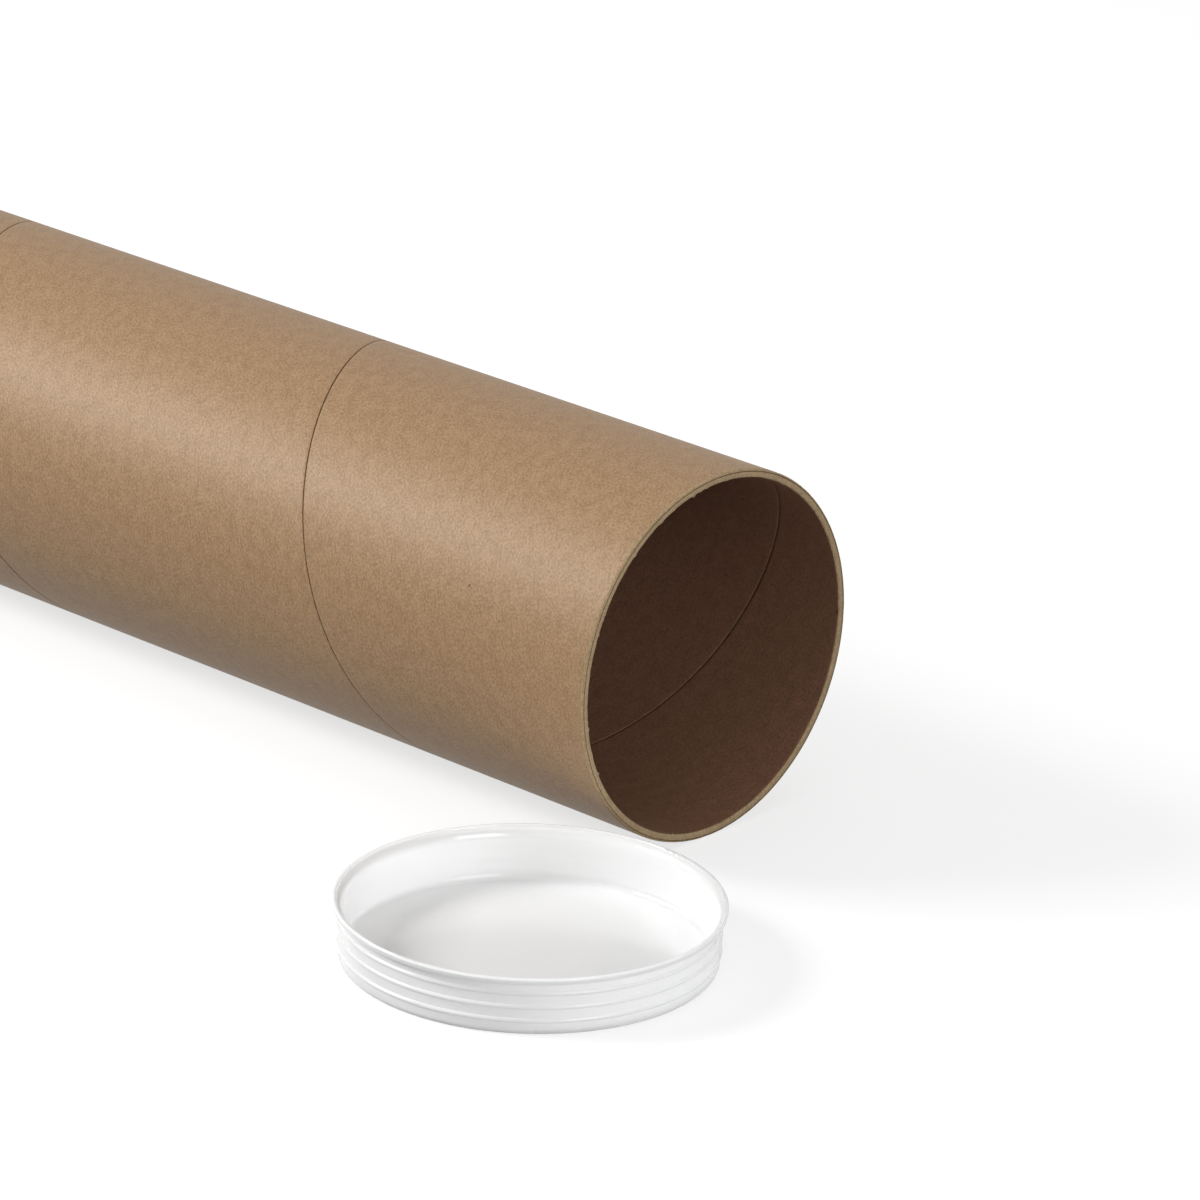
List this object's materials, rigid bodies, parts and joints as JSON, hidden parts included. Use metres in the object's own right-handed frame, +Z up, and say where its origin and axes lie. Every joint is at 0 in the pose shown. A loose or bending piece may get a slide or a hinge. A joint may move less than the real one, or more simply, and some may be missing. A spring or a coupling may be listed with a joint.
{
  "type": "mailing tube",
  "caption": "Spiral-wound kraft paperboard mailing tube lying on its side, far end plugged by a ribbed plastic cap, matching cap taken off beside the open mouth.",
  "frame": {"origin": "centre of the tube's open mouth, on the tube's axis", "axes": "+X along the tube's axis out of the open mouth, +Z up, the loose cap lies towards -Y"},
  "size_m": [0.6682, 0.1516, 0.0798],
  "materials": {
    "kraft_board": "matte kraft paper, spirally wound",
    "cap_plastic": "smooth moulded white polyethylene"
  },
  "bodies": {
    "tube": {"mailing_tube": "kraft_board", "loose_end_cap": "cap_plastic"},
    "end_cap": {"fitted_end_cap": "cap_plastic"}
  },
  "joints": [
    {"name": "end_cap_pull", "type": "slide", "parent": "tube", "child": "end_cap", "axis": [-1, 0, 0], "range_m": [0, 0.05]}
  ]
}
